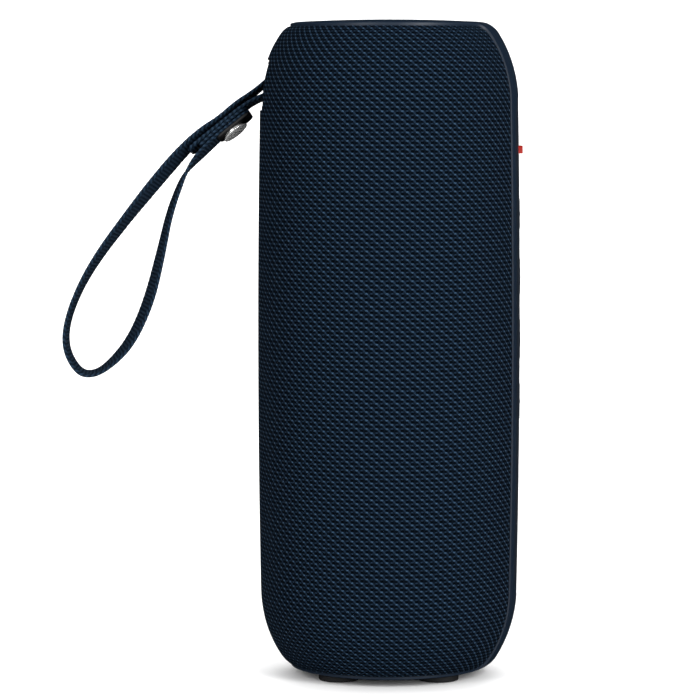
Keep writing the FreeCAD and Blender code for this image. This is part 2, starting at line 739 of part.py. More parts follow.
def ports():
    z = middle + d.port_level
    board_y = baffle_face + 1.2
    face = board_y + 1.2
    board = slab("port_board", (-9, 9), (board_y, face), (z - 10, z + 10))
    usb_z, aux_z = z - 4.0, z + 4.0
    usb_body = slab("UsbBody", (-4.6, 4.6), (face, port_floor), (usb_z - 1.7, usb_z + 1.7))
    usb_mouth = slab("UsbMouth", (-4.2, 4.2), (face + 1.5, port_floor), (usb_z - 1.3, usb_z + 1.3))
    tongue = slab("UsbTongue", (-3.3, 3.3), (face + 1, port_floor - 0.8), (usb_z - 0.35, usb_z + 0.35))
    usb = fused("usb_socket", cut("UsbShell", usb_body, usb_mouth), tongue)
    aux_body = slab("AuxBody", (-3.4, 3.4), (face, port_floor), (aux_z - 3.4, aux_z + 3.4))
    aux = cut("aux_socket", aux_body, rod("AuxBore", 1.8, 20, (0, face + 1, aux_z), Y))
    block = shared("BezelBlock", port_bay, pebble("BezelOutline", 0.3))
    half, tall = d.port_half_width - d.port_rim, d.port_half_height - d.port_rim
    recess = slab("BezelRecess", (-half, half), (port_floor + 1.0, beyond), (z - tall, z + tall))
    usb_hole = slab("UsbHole", (-4.4, 4.4), (0, beyond), (usb_z - 1.5, usb_z + 1.5))
    aux_hole = rod("AuxHole", 2.6, beyond, (0, 0, aux_z), Y)
    bezel = cut("port_bezel", block, recess, usb_hole, aux_hole)
    half, tall = half - d.cover_play, tall - d.cover_play
    lid = slab("CoverBlock", (-half, half), (port_floor + 1.3, beyond), (z - tall, z + tall))
    cover = shared("port_cover", lid, pebble("CoverOutline", 0.2))
    return [board, usb, aux, bezel, cover]


# ---- strap ---------------------------------------------------------------------------------------

def strap_pocket():
    block = shared("PocketCup", pocket, pocket_outline)
    hollow = slab("PocketHollow", (-beyond, pocket_floor), (-d.pocket_half_width, d.pocket_half_width),
                  (d.bar_height - d.pocket_low, d.bar_height + d.pocket_high))
    reach = d.pocket_half_width + d.pocket_wall * 0.7
    bar = rod("strap_bar", d.bar_radius, reach * 2, (bar_x, -reach, d.bar_height), Y)
    return [cut("strap_pocket", block, hollow, bar), bar]


def rounded_route(points):
    """Straight runs of a route and the tangent arc at each of its corners, with the radii."""
    runs, arcs, radii = [], [], []
    start = points[0]
    for before, corner, after in zip(points, points[1:], points[2:]):
        incoming = (corner - before).normalize()
        outgoing = (after - corner).normalize()
        half_turn = incoming.getAngle(outgoing) / 2
        back = 0.45 * min((corner - before).Length, (after - corner).Length)
        radius = back / math.tan(half_turn)
        enter, leave = corner - incoming * back, corner + outgoing * back
        inwards = (outgoing - incoming).normalize()
        centre = corner + inwards * (radius / math.cos(half_turn))
        runs.append((start, enter))
        arcs.append((enter, centre - inwards * radius, leave, centre))
        radii.append(radius)
        start = leave
    runs.append((start, points[-1]))
    return runs, arcs, radii


def ribbon(route, thickness, width, bend=None):
    """A flat strap along a route in the XZ plane, with an optional bend ahead of it.

    The bend is the arc's start, middle and end points and its centre.
    """
    runs, arcs, radii = rounded_route(route)

    def edge(side):
        """The strap's edge on one side: each run moved across, each arc with its radius changed."""
        def across(point, heading):
            return point + heading.cross(Y) * side

        def bowed(begin, top, end, centre):
            heading = (end - begin).normalize()
            bulge = (top - centre).normalize()
            outward = side if bulge.dot(heading.cross(Y)) > 0 else -side
            moved = [point + (point - centre).normalize() * outward for point in (begin, top, end)]
            return Part.Arc(*moved).toShape()

        edges = [bowed(*bend)] if bend else []
        for i, (start, end) in enumerate(runs):
            heading = (end - start).normalize()
            edges.append(Part.LineSegment(across(start, heading), across(end, heading)).toShape())
            if i < len(arcs):
                edges.append(bowed(*arcs[i]))
        return edges

    upper, lower = edge(thickness / 2), edge(-thickness / 2)
    first = Part.LineSegment(upper[0].Vertexes[0].Point, lower[0].Vertexes[0].Point).toShape()
    last = Part.LineSegment(upper[-1].Vertexes[-1].Point, lower[-1].Vertexes[-1].Point).toShape()
    loop = Part.Wire(Part.__sortEdges__(upper + [last] + lower + [first]))
    solid = Part.Face(loop).extrude(Y * width)
    solid.translate(Y * (-width / 2))
    length = sum(run[1].distanceToPoint(run[0]) for run in runs)
    length += sum(Part.Arc(*arc[:3]).toShape().Length for arc in arcs)
    length += Part.Arc(*bend[:3]).toShape().Length if bend else 0
    return solid, length, radii


def leaving_point(centre, radius, target, side):
    """Where a line to the target leaves a circle, on its upper (1) or lower (-1) side."""
    apart = target - centre
    share = radius / apart.Length
    unit = apart.normalize()
    across = unit.cross(Y)
    if across.z * side < 0:
        across = across * -1
    return centre + (unit * share + across * math.sqrt(1 - share ** 2)) * radius


def featured(name, shape):
    piece = doc.addObject("Part::Feature", name)
    piece.Shape = shape
    return piece


def strap():
    """The webbing, its sewn end round the bar, the tab's lining and the snap through both."""
    thick, width = d.strap_thickness.value, d.strap_width.value
    bar = Vector(bar_x.value, 0, d.bar_height.value)
    wrap = d.bar_radius.value + d.strap_play.value + thick / 2
    long_points = [Vector(x, 0, z) for x, z in STRAP_ROUTE]
    tip = long_points[-1]
    along = (tip - long_points[-2]).normalize()
    out = along.cross(Y) * -1
    face, lining, gap = thick / 2, d.lining.value, d.stub_gap.value
    stub_line = tip - out * (thick + gap)
    short_points = [stub_line + along * d.stub_lead.value, stub_line - along * d.stub_reach.value]

    start = leaving_point(bar, wrap, long_points[0], 1)
    under = leaving_point(bar, wrap, short_points[0], -1)
    leaving = (long_points[0] - start).normalize() + (short_points[0] - under).normalize()
    webbing, length, radii = ribbon([start] + long_points, thick, width)
    bend = (start, bar - leaving.normalize() * wrap, under, bar)
    stub, _, _ = ribbon([under] + short_points, thick, width, bend)
    print("strap radii", ["%.1f" % radius for radius in radii], "length %.1f" % length,
          "volume %.1f, section x length %.1f" % (webbing.Volume, thick * width * length))

    seat = tip - along * d.snap_from_tip.value
    radius = d.snap_post.value
    post = Part.makeCylinder(radius, 20, seat - out * 10, out)
    patch_end = tip + out * face - Y * (width / 2)
    corners = [patch_end, patch_end - along * d.lining_length.value]
    corners += [corners[1] + out * lining, corners[0] + out * lining, corners[0]]
    patch = Part.Face(Part.makePolygon(corners)).extrude(Y * width)
    sole = face + lining
    cap = Part.makeCone(d.snap_radius.value, d.snap_radius.value * 0.82, d.snap_height.value,
                        seat + out * sole, out)
    neck = Part.makeCylinder(radius, sole + face, seat - out * face, out)
    ring = Part.makeCylinder(radius * 2.4, gap, seat - out * (face + gap), out)
    through = face + gap + thick
    shank = Part.makeCylinder(radius, thick, seat - out * through, out)
    washer = Part.makeCylinder(radius * 2.9, 0.5, seat - out * (through + 0.5), out)
    return [
        featured("strap_webbing", webbing.cut(post)),
        featured("strap_stub", stub.cut(post)),
        featured("tab_lining", patch.cut(post)),
        featured("snap_cap", cap.fuse(neck).removeSplitter()),
        featured("snap_stud", ring.fuse(shank).fuse(washer).removeSplitter()),
    ]


# ---- assembly and files --------------------------------------------------------------------------

nodes = [fabric_cover(), control_frame(), key_panel(), grouped("feet", foot_rods), chamber()]
nodes += grille_shells()
nodes += baffles()
nodes += gaskets()
nodes += carriers()
nodes += [grouped("baffle_screws", baffle_screws), grouped("carrier_screws", carrier_screws)]
nodes += driver("upper", d.driver_offset)
nodes += driver("lower", -d.driver_offset)
nodes += radiator()
nodes += battery()
nodes += boards()
nodes += [switches(), power_button()]
nodes += [round_button(name, BUTTONS[name], radius) for name, radius in ROUND_BUTTONS.items()]
nodes += status_light()
nodes += ports()
nodes += strap_pocket()
nodes += strap()

doc.recompute()
for item in doc.Objects:
    if "Invalid" in item.State or "Error" in item.State:
        raise RuntimeError("%s: %s" % (item.Name, item.State))
os.makedirs("parts", exist_ok=True)
for node in nodes:
    shape = node.Shape
    if shape.isNull() or not shape.isValid() or not shape.Solids:
        raise RuntimeError("%s has no valid solid" % node.Name)
    if node.Label != node.Name:
        raise RuntimeError("%s is named twice" % node.Name)
    shape.exportStep("parts/%s.step" % node.Label)
    print("%-24s %2d solid %10.2f mm3" % (node.Label, len(shape.Solids), shape.Volume))
print(len(nodes), "nodes")
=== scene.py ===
"""Portable bluetooth speaker: the woven wrap, the smooth frame, the keys, the strap and its snap.

Everything is in metres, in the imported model's own frame: Z up, +X the button side, -Y the front.
"""
import json
import math

import bmesh
import bpy
import numpy as np
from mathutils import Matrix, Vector


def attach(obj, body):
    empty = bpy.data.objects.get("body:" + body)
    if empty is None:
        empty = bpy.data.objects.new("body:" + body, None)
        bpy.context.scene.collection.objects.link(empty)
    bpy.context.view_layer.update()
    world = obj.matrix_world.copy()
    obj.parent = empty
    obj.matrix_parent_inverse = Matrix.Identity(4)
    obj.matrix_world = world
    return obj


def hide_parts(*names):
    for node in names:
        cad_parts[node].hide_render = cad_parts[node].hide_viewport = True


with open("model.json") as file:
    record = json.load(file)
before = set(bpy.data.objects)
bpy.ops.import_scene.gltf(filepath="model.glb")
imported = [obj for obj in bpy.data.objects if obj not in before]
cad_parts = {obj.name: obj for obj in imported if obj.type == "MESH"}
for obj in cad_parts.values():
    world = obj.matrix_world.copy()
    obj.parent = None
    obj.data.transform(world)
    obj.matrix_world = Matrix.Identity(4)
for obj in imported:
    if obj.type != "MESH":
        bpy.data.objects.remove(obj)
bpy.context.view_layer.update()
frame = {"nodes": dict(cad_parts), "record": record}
mm = 0.001

# ---- the body's outline, as the CAD's sketch draws it ---------------------------------------------
BODY_RADIUS = 37.75 * mm
BODY_HALF = 93.5 * mm
DOME = 500.0 * mm
CORNER = 6.8 * mm
CORNER_X = 25.6 * mm
SHOULDER = 38.0 * mm
SIDE = 3600.0 * mm
MIDDLE = 94.7 * mm
# The wrap lies this far inside the outline; at the frame and at its ends it dips further, over a short reach.
WRAP_INSET = 0.1 * mm
WRAP_THICKNESS = 1.0 * mm
WRAP_ROW = 1.35 * mm
END_ROWS = 0.6 * mm, 1.4 * mm
EDGE_STEP = 0.7 * mm
EDGE_DIP, EDGE_REACH = 0.55 * mm, 0.5 * mm
END_DIP, END_REACH = 0.35 * mm, 7 * mm
KNOT_COLUMN, KNOT_ROW = 1.43 * mm, 1.175 * mm
DISC_RADIUS = 28.3 * mm
STRIP_HALF = 13.1 * mm
FLARE = 5.0 * mm
POCKET_HALF = 8.4 * mm
POCKET_LOW, POCKET_HIGH = 162.25 * mm, 176.75 * mm
PORT_HALF = 9.5 * mm
PORT_LOW, PORT_HIGH = 27.7 * mm, 49.7 * mm
KEY_LEVELS = {"pairing": 38.0 * mm, "volume_up": 20.0 * mm, "play": 2.0 * mm, "volume_down": -16.0 * mm}

# Route of the strap's long run in the XZ plane, from the bar to the tab's tip, in millimetres. It keeps
# within 2 mm of the route in the part's source.
STRAP_ROUTE = [
    (-34.9, 170.4), (-38.4, 167.3), (-43.2, 164.2), (-48.4, 159.4), (-53.6, 156.0), (-60.8, 149.0),
    (-73.6, 133.6), (-85.6, 117.8), (-92.0, 104.6), (-93.6, 94.5), (-89.6, 86.9), (-85.0, 86.2),
    (-79.9, 89.5), (-74.0, 96.2), (-69.0, 107.5), (-65.6, 121.0), (-62.6, 134.9), (-56.2, 149.5),
    (-39.9, 161.8),
]
# How far the strap leans about its own line, in degrees, at fractions of its length.
STRAP_LEAN = [
    (0.0, 9), (0.06, 14), (0.10, 18), (0.14, 23), (0.18, 26), (0.23, 24), (0.28, 19), (0.32, 16.5),
    (0.36, 13), (0.40, 9), (0.45, 6), (0.55, 7), (0.60, 19), (0.64, 22), (0.69, 24), (0.74, 21),
    (0.79, 16), (0.84, 12), (0.87, 8), (0.885, -6), (0.90, -14), (0.925, -17), (0.95, -14), (1.0, -12),
]
# Route of the sewn end: from the top of the bar round it and out again under the long run.
SEWN_ROUTE = [
    (-34.9, 170.8), (-33.4, 171.9), (-31.9, 170.6), (-31.9, 168.4), (-33.0, 167.0), (-35.2, 166.5),
    (-40.6, 163.9), (-47.4, 158.4), (-54.6, 152.5), (-57.0, 150.3),
]
SEWN_LEAN = [(0, 9), (0.35, 12), (0.5, 13), (0.75, 15), (1.0, 18)]
STRAP_HALF_WIDTH = 4.0 * mm
STRAP_HALF_THICK = 0.6 * mm
STRAP_STEP = 0.2 * mm
STRAP_ROUND = 2.6 * mm
LEAN_EASE = 6 * mm
EDGE_CORD = 2.9 * mm
RIB_PITCH = 1.1 * mm
CORD_PITCH = 1.6 * mm
RIB_HEIGHT = 0.07 * mm
CORD_HEIGHT = 0.06 * mm
# Ribs reach out to the first share of the half width, and the cords lie beyond the second.
RIB_SHARE, CORD_SHARE = 0.78, 0.85
# The tab is folded over: a second layer on its end, lifted by a little under the strap's thickness.
FOLD_LENGTH = 17 * mm
FOLD_LIFT = 1.12 * mm
FOLD_ROUND = 2.4 * mm
# The snap's and the tape's middles, back from the tip of the tab.
TAB_BACK = 7.0 * mm
TAPE_BACK = 6.2 * mm
TAPE_HALF_LENGTH, TAPE_HALF_WIDTH = 5.9 * mm, 3.95 * mm


def outline_arcs(inset):
    """The half outline's arcs as (centre x, centre z, radius, first angle, last angle), top to middle.

    The dome, corner, shoulder and side touch one another along their lines of centres.
    """
    dome_z = BODY_HALF - DOME
    corner_z = dome_z + math.sqrt((DOME - CORNER) ** 2 - CORNER_X ** 2)
    side_x = BODY_RADIUS - SIDE
    span = math.hypot(side_x - CORNER_X, corner_z)
    near, far = SHOULDER - CORNER, SIDE - SHOULDER
    step = (near ** 2 - far ** 2 + span ** 2) / (2 * span)
    unit = np.array((side_x - CORNER_X, -corner_z)) / span
    lift = np.array((-unit[1], unit[0])) * math.sqrt(near ** 2 - step ** 2)
    foot = np.array((CORNER_X, corner_z)) + unit * step
    shoulder = min((foot + lift, foot - lift), key=lambda point: point[1])
    dome_turn = math.atan2(corner_z - dome_z, CORNER_X)
    corner_turn = math.atan2(corner_z - shoulder[1], CORNER_X - shoulder[0])
    side_turn = math.atan2(shoulder[1], shoulder[0] - side_x)
    return [
        (0.0, dome_z, DOME - inset, math.pi / 2, dome_turn),
        (CORNER_X, corner_z, CORNER - inset, dome_turn, corner_turn),
        (shoulder[0], shoulder[1], SHOULDER - inset, corner_turn, side_turn),
        (side_x, 0.0, SIDE - inset, side_turn, 0.0),
    ]


def outline(inset=0.0, fine=400):
    """Radius and height along the whole outline from the top pole to the bottom one, by arc length."""
    radii, heights = [], []
    for x, z, reach, first, last in outline_arcs(inset):
        turn = np.linspace(first, last, fine)
        radii.append(x + reach * np.cos(turn))
        heights.append(z + reach * np.sin(turn))
    radius, height = np.concatenate(radii), np.concatenate(heights)
    radius = np.concatenate([radius, radius[::-1]])
    height = np.concatenate([height, -height[::-1]]) + MIDDLE
    run = np.concatenate([[0], np.cumsum(np.hypot(np.diff(radius), np.diff(height)))])
    keep = np.concatenate([[True], np.diff(run) > 1e-9])
    return run[keep], radius[keep], height[keep]


def side_radius(height, inset=0.0):
    """Radius of the outline at a height on its side."""
    run, radius, level = outline(inset)
    order = np.argsort(level)
    return np.interp(height, level[order], radius[order])


def grid_piece(name, points, uv=None, around=False, skip=None, ends=False, material=None):
    """A mesh of quads over a grid of points, rows by columns, that may close on itself across its columns.

    uv has one more column than the points when the grid closes; ends fills the first and last rings.
    """
    rows, columns = points.shape[:2]
    index = np.arange(rows * columns).reshape(rows, columns)
    if around:
        index = np.concatenate([index, index[:, :1]], axis=1)
    corners = [(slice(None, -1), slice(None, -1)), (slice(None, -1), slice(1, None)),
               (slice(1, None), slice(1, None)), (slice(1, None), slice(None, -1))]
    quads = np.stack([index[corner] for corner in corners], axis=-1)
    shown = np.ones(quads.shape[:2], bool) if skip is None else ~skip
    faces = quads[shown].tolist()
    if ends:
        faces += [index[0, :columns].tolist()[::-1], index[-1, :columns].tolist()]
    mesh = bpy.data.meshes.new(name)
    mesh.from_pydata(points.reshape(-1, 3).tolist(), [], faces)
    if uv is not None:
        layer = mesh.uv_layers.new(name="UVMap")
        flat = np.stack([uv[corner] for corner in corners], axis=-2)[shown].reshape(-1, 2)
        if ends:
            flat = np.concatenate([flat, uv[0, :columns][::-1], uv[-1, :columns]])
        layer.data.foreach_set("uv", flat.astype(np.float32).ravel())
    mesh.validate()
    mesh.shade_smooth()
    piece = bpy.data.objects.new(name, mesh)
    bpy.context.collection.objects.link(piece)
    if material:
        mesh.materials.append(material)
    if around and ends:
        outwards(piece)
    return piece


def outwards(piece):
    """Turn a closed piece's faces to point outwards."""
    work = bmesh.new()
    work.from_mesh(piece.data)
    bmesh.ops.recalc_face_normals(work, faces=work.faces)
    work.to_mesh(piece.data)
    work.free()


# ---- finishes -------------------------------------------------------------------------------------

class Finish:
    """A material with short ways to add and join its nodes."""

    def __init__(self, name, **sockets):
        self.material = bpy.data.materials.new(name)
        self.material.use_nodes = True
        self.tree = self.material.node_tree
        self.shader = self.tree.nodes["Principled BSDF"]
        for socket, value in sockets.items():
            self.shader.inputs[socket.replace("_", " ")].default_value = value

    def node(self, kind, settings=None, **inputs):
        made = self.tree.nodes.new("ShaderNode" + kind)
        for key, value in (settings or {}).items():
            setattr(made, key, value)
        for key, value in inputs.items():
            numbered = key[0] == "i" and key[1:].isdigit()
            socket = made.inputs[int(key[1:]) if numbered else key.replace("_", " ")]
            if isinstance(value, bpy.types.NodeSocket):
                self.tree.links.new(value, socket)
            else:
                socket.default_value = value
        return made

    def math(self, operation, first, second=0.0, third=0.0):
        return self.node("Math", {"operation": operation}, i0=first, i1=second, i2=third).outputs[0]

    def place(self, scale=(1, 1, 1), turn=(0, 0, 0)):
        """Object coordinates, scaled and turned."""
        where = self.node("TexCoord").outputs["Object"]
        return self.node("Mapping", Vector=where, Scale=scale, Rotation=turn).outputs[0]

    def along(self):
        """The piece's own UV map, in metres, as two numbers."""
        apart = self.node("SeparateXYZ", Vector=self.node("UVMap", {"uv_map": "UVMap"}).outputs[0])
        return apart.outputs[0], apart.outputs[1]

    def noise(self, scale, detail=3.0, where=None):
        where = where or self.place()
        return self.node("TexNoise", Vector=where, Scale=scale, Detail=detail).outputs["Fac"]

    def wave(self, where, pitch, phase=0.0):
        """A cosine between 0 and 1 with its tops a pitch apart."""
        turned = self.math("MULTIPLY_ADD", where, 2 * math.pi / pitch, phase)
        return self.math("MULTIPLY_ADD", self.math("COSINE", turned), 0.5, 0.5)

    def ramp(self, amount, *stops):
        ramp = self.node("ValToRGB", Fac=amount)
        steps = ramp.color_ramp.elements
        while len(steps) < len(stops):
            steps.new(0.5)
        for step, (place, colour) in zip(steps, stops):
            step.position = place
            step.color = (*colour, 1.0)
        return ramp.outputs["Color"]

    def spread(self, amount, low, high):
        return self.node("MapRange", Value=amount, To_Min=low, To_Max=high).outputs["Result"]

    def colour(self, socket):
        self.tree.links.new(socket, self.shader.inputs["Base Color"])

    def roughness(self, socket):
        self.tree.links.new(socket, self.shader.inputs["Roughness"])

    def bump(self, height, distance, strength=1.0):
        made = self.node("Bump", Strength=strength, Distance=distance, Height=height)
        old = self.shader.inputs["Normal"]
        if old.is_linked:
            self.tree.links.new(old.links[0].from_socket, made.inputs["Normal"])
        self.tree.links.new(made.outputs[0], old)


def woven_fabric():
    """Speaker cloth: fat knots in staggered columns, thin ones between them, and holes above and below.

    With u round the body and v down it, a knot stands where both cosines top out; every other knot
    is large, by the cosines across both diagonals; threads run on along one diagonal; a hole lies
    half a row from each knot and is deepest just above a large one.
    """
    cloth = Finish("woven_fabric", Specular_IOR_Level=0.12, Specular_Tint=(0.36, 0.64, 1.0, 1))
    u, v = cloth.along()
    slow = cloth.noise(55.0, 2.0)
    u = cloth.math("MULTIPLY_ADD", cloth.math("SUBTRACT", slow, 0.5), 0.00035, u)
    across, down = cloth.wave(u, KNOT_COLUMN), cloth.wave(v, KNOT_ROW)
    diagonal = cloth.math("MULTIPLY_ADD", v, 0.5 / KNOT_ROW, cloth.math("MULTIPLY", u, 0.5 / KNOT_COLUMN))
    other = cloth.math("SUBTRACT", cloth.math("MULTIPLY", u, 0.5 / KNOT_COLUMN),
                       cloth.math("MULTIPLY", v, 0.5 / KNOT_ROW))
    large = cloth.wave(diagonal, 1.0)
    slant = cloth.wave(other, 1.0)
    knot = cloth.math("MULTIPLY", across, down)
    narrow = cloth.math("POWER", across, 1.6)
    hole = cloth.math("MULTIPLY", narrow, cloth.math("SUBTRACT", 1.0, down))
    above = cloth.math("MULTIPLY", cloth.wave(diagonal, 1.0, math.pi / 2),
                       cloth.wave(other, 1.0, -math.pi / 2))
    weight = cloth.math("MULTIPLY_ADD", cloth.math("MULTIPLY", large, slant), 0.50, 0.50)
    thread = cloth.math("MULTIPLY_ADD", cloth.math("POWER", slant, 2.0), 0.36, 0.07)
    raised = cloth.math("ADD", cloth.math("MULTIPLY", cloth.math("POWER", knot, 1.4), weight), thread)
    sunk = cloth.math("MULTIPLY", hole, cloth.math("MULTIPLY_ADD", above, 0.75, 0.32))
    height = cloth.math("SUBTRACT", raised, sunk)
    fibre = cloth.noise(5200.0, 2.0)
    # Colour: the weave's height plus the yarn's own random fibre tone. Raised knots and threads are painted
    # lighter, a painted highlight, and the holes are painted near black, painted shade; the navy is the cloth's
    # own colour.
    fibre_and_painted_relief_light = cloth.math("MULTIPLY_ADD", cloth.math("SUBTRACT", fibre, 0.5), 0.25, height)
    cloth.colour(cloth.ramp(fibre_and_painted_relief_light, (0.0, (0.0002, 0.0004, 0.0010)), (0.20, (0.0018, 0.0040, 0.0083)),
                            (0.50, (0.0066, 0.0148, 0.0285)), (1.0, (0.0250, 0.0520, 0.0900))))
    cloth.roughness(cloth.spread(height, 1.0, 0.42))
    cloth.bump(height, 0.35 * mm, 0.9)
    return cloth.material


def webbing():
    """Strap webbing: ribs across the face, a twill between them and dashed cords in each edge."""
    band = Finish("webbing", Specular_IOR_Level=0.10, Specular_Tint=(0.40, 0.66, 1.0, 1))
    u, v = band.along()
    ribs = band.wave(u, RIB_PITCH)
    strands = band.wave(band.math("ADD", v, band.math("MULTIPLY", u, 0.6)), 0.42 * mm)
    edge = band.math("GREATER_THAN", band.math("ABSOLUTE", v), EDGE_CORD)
    dash = band.wave(band.math("MULTIPLY_ADD", band.math("ABSOLUTE", v), 0.8, u), CORD_PITCH)
    face = band.math("MULTIPLY_ADD", strands, 0.3, band.math("MULTIPLY", ribs, 0.5))
    mixed = band.node("Mix", i0=edge, i2=face, i3=band.math("MULTIPLY_ADD", dash, 0.8, 0.1)).outputs[0]
    fibre = band.noise(4200.0, 2.0)
    # Colour follows the relief plus the yarn's own random fibre tone: rib tops and edge-cord dashes are painted
    # lighter, a painted highlight, and the grooves between them darker, painted shade, over the webbing's own
    # navy.
    fibre_and_painted_relief_light = band.math("MULTIPLY_ADD", band.math("SUBTRACT", fibre, 0.5), 0.3, mixed)
    band.colour(band.ramp(fibre_and_painted_relief_light, (0.0, (0.0012, 0.0024, 0.0050)), (0.45, (0.0052, 0.0108, 0.0200)),
                          (1.0, (0.0170, 0.0330, 0.0560))))
    band.roughness(band.spread(mixed, 0.8, 0.55))
    band.bump(mixed, 0.12 * mm, 0.8)
    return band.material


def moulded(name, colour, roughness, grain=2600.0, depth=0.02, drift=0.12, metallic=0.0, level=0.5):
    """Moulded plastic, rubber or bare metal: a fine even grain and slow drifts of tone."""
    skin = Finish(name, Metallic=metallic, Specular_IOR_Level=level)
    slow = skin.noise(38.0, 4.0)
    fine = skin.noise(grain, 2.0)
    dark = tuple(part * (1 - drift) for part in colour)
    light = tuple(min(1.0, part * (1 + drift)) for part in colour)
    tone = skin.math("MULTIPLY_ADD", fine, 0.3, skin.math("MULTIPLY", slow, 0.7))
    skin.colour(skin.ramp(tone, (0.3, dark), (0.7, light)))
    skin.roughness(skin.spread(tone, min(1.0, roughness + 0.06), max(0.03, roughness - 0.06)))
    skin.bump(fine, depth * mm)
    return skin.material


def brushed(name, colour, roughness, stretch=(1, 1, 60)):
    """Metal with fine drawn lines and small dull patches."""
    metal = Finish(name, Metallic=1.0)
    lines = metal.noise(900.0, 3.0, metal.place(stretch))
    patch = metal.noise(180.0, 4.0)
    metal.colour(metal.ramp(patch, (0.3, tuple(part * 0.85 for part in colour)), (0.7, colour)))
    metal.roughness(metal.spread(lines, roughness + 0.1, max(0.04, roughness - 0.05)))
    metal.bump(lines, 0.01 * mm)
    return metal.material


def foam_cells():
    """Open-cell foam: small pits in soft black, painted darker than the cell walls as painted shade."""
    foam = Finish("foam", Specular_IOR_Level=0.2)
    cells = foam.node("TexVoronoi", Vector=foam.place(), Scale=1400.0).outputs["Distance"]
    foam.colour(foam.ramp(cells, (0.0, (0.005, 0.005, 0.006)), (0.6, (0.03, 0.03, 0.034))))
    foam.roughness(foam.spread(cells, 0.98, 0.85))
    foam.bump(cells, 0.2 * mm)
    return foam.material


def paper_pulp():
    """Driver cone: pressed pulp with long fibres."""
    pulp = Finish("paper_cone", Specular_IOR_Level=0.3)
    fibres = pulp.noise(700.0, 5.0, pulp.place((1, 4, 1)))
    pulp.colour(pulp.ramp(fibres, (0.3, (0.012, 0.012, 0.013)), (0.7, (0.045, 0.044, 0.042))))
    pulp.roughness(pulp.spread(fibres, 0.95, 0.75))
    pulp.bump(fibres, 0.08 * mm)
    return pulp.material


def shrink_sleeve():
    """Battery sleeve: glossy film with faint wrinkles, drawn out along Z, all over it."""
    film = Finish("cell_sleeve", Coat_Weight=0.4, Coat_Roughness=0.15)
    wrinkle = film.noise(260.0, 4.0, film.place((1, 1, 0.25)))
    film.colour(film.ramp(wrinkle, (0.35, (0.02, 0.16, 0.22)), (0.7, (0.03, 0.24, 0.32))))
    film.roughness(film.spread(wrinkle, 0.4, 0.25))
    film.bump(wrinkle, 0.06 * mm)
    return film.material


def circuit_board():
    """Solder mask over copper: straight tracks with vias between them."""
    mask = Finish("board_green", Coat_Weight=0.3, Coat_Roughness=0.2)
    turned = mask.place((1, 1, 1), (math.pi / 2, 0, math.pi / 2))
    tracks = mask.node("TexBrick", {"offset": 0.5}, Vector=turned, Scale=140.0, Mortar_Size=0.05).outputs["Fac"]
    vias = mask.node("TexVoronoi", Vector=mask.place(), Scale=520.0).outputs["Distance"]
    dots = mask.math("LESS_THAN", vias, 0.18)
    shown = mask.math("MAXIMUM", tracks, dots)
    mask.colour(mask.ramp(shown, (0.0, (0.008, 0.07, 0.03)), (1.0, (0.03, 0.16, 0.07))))
    mask.roughness(mask.spread(shown, 0.45, 0.3))
    mask.bump(shown, 0.03 * mm)
    return mask.material


def light_guide():
    """Milky clear plastic over the status lamp."""
    clear = Finish("clear_light", Transmission_Weight=0.6, IOR=1.49, Specular_IOR_Level=0.5)
    haze = clear.noise(900.0, 3.0)
    clear.colour(clear.ramp(haze, (0.3, (0.55, 0.6, 0.64)), (0.7, (0.75, 0.8, 0.84))))
    clear.roughness(clear.spread(haze, 0.45, 0.3))
    clear.bump(haze, 0.01 * mm)
    return clear.material


FINISHES = {
    "woven_fabric": woven_fabric(),
    "webbing": webbing(),
    "navy_frame": moulded("navy_frame", (0.0056, 0.0130, 0.0262), 0.46, 3000, 0.010, 0.08, level=0.28),
    "navy_rubber": moulded("navy_rubber", (0.0048, 0.0098, 0.0185), 0.66, 2200, 0.018, 0.10, level=0.35),
    "red_key": moulded("red_key", (0.26, 0.008, 0.003), 0.42, 2600, 0.010, 0.10, level=0.2),
    "black_plastic": moulded("black_plastic", (0.012, 0.012, 0.013), 0.5, 2000, 0.02),
    "grey_plastic": moulded("grey_plastic", (0.10, 0.10, 0.105), 0.5, 2000, 0.02),
    "black_rubber": moulded("black_rubber", (0.010, 0.010, 0.011), 0.72, 1600, 0.03, level=0.3),
    "chip_black": moulded("chip_black", (0.016, 0.016, 0.017), 0.58, 3200, 0.01),
    "magnet_steel": moulded("magnet_steel", (0.16, 0.16, 0.17), 0.45, 900, 0.02, metallic=0.8),
    "black_tape": moulded("black_tape", (0.0050, 0.0050, 0.0055), 0.55, 1800, 0.02, level=0.35),
    # bright_metal is the snap's chrome: its metallic is held at 0.78 so a share of its near-white colour shows
    # as plain diffuse white, a painted reflection in place of the surroundings the chrome would mirror.
    "bright_metal": moulded("bright_metal", (0.93, 0.93, 0.92), 0.26, 400, 0.0, 0.02, metallic=0.78),
    "steel": brushed("steel", (0.56, 0.57, 0.60), 0.32),
    "capacitor_can": brushed("capacitor_can", (0.72, 0.72, 0.74), 0.28, (60, 1, 1)),
    "foam": foam_cells(),
    "paper_cone": paper_pulp(),
    "cell_sleeve": shrink_sleeve(),
    "board_green": circuit_board(),
    "clear_light": light_guide(),
}
for part in frame["record"]["subparts"]:
    mesh = frame["nodes"][part["node"]].data
    mesh.materials.clear()
    mesh.materials.append(FINISHES[part["material_slot"]])


# ---- moulded pieces with eased edges --------------------------------------------------------------

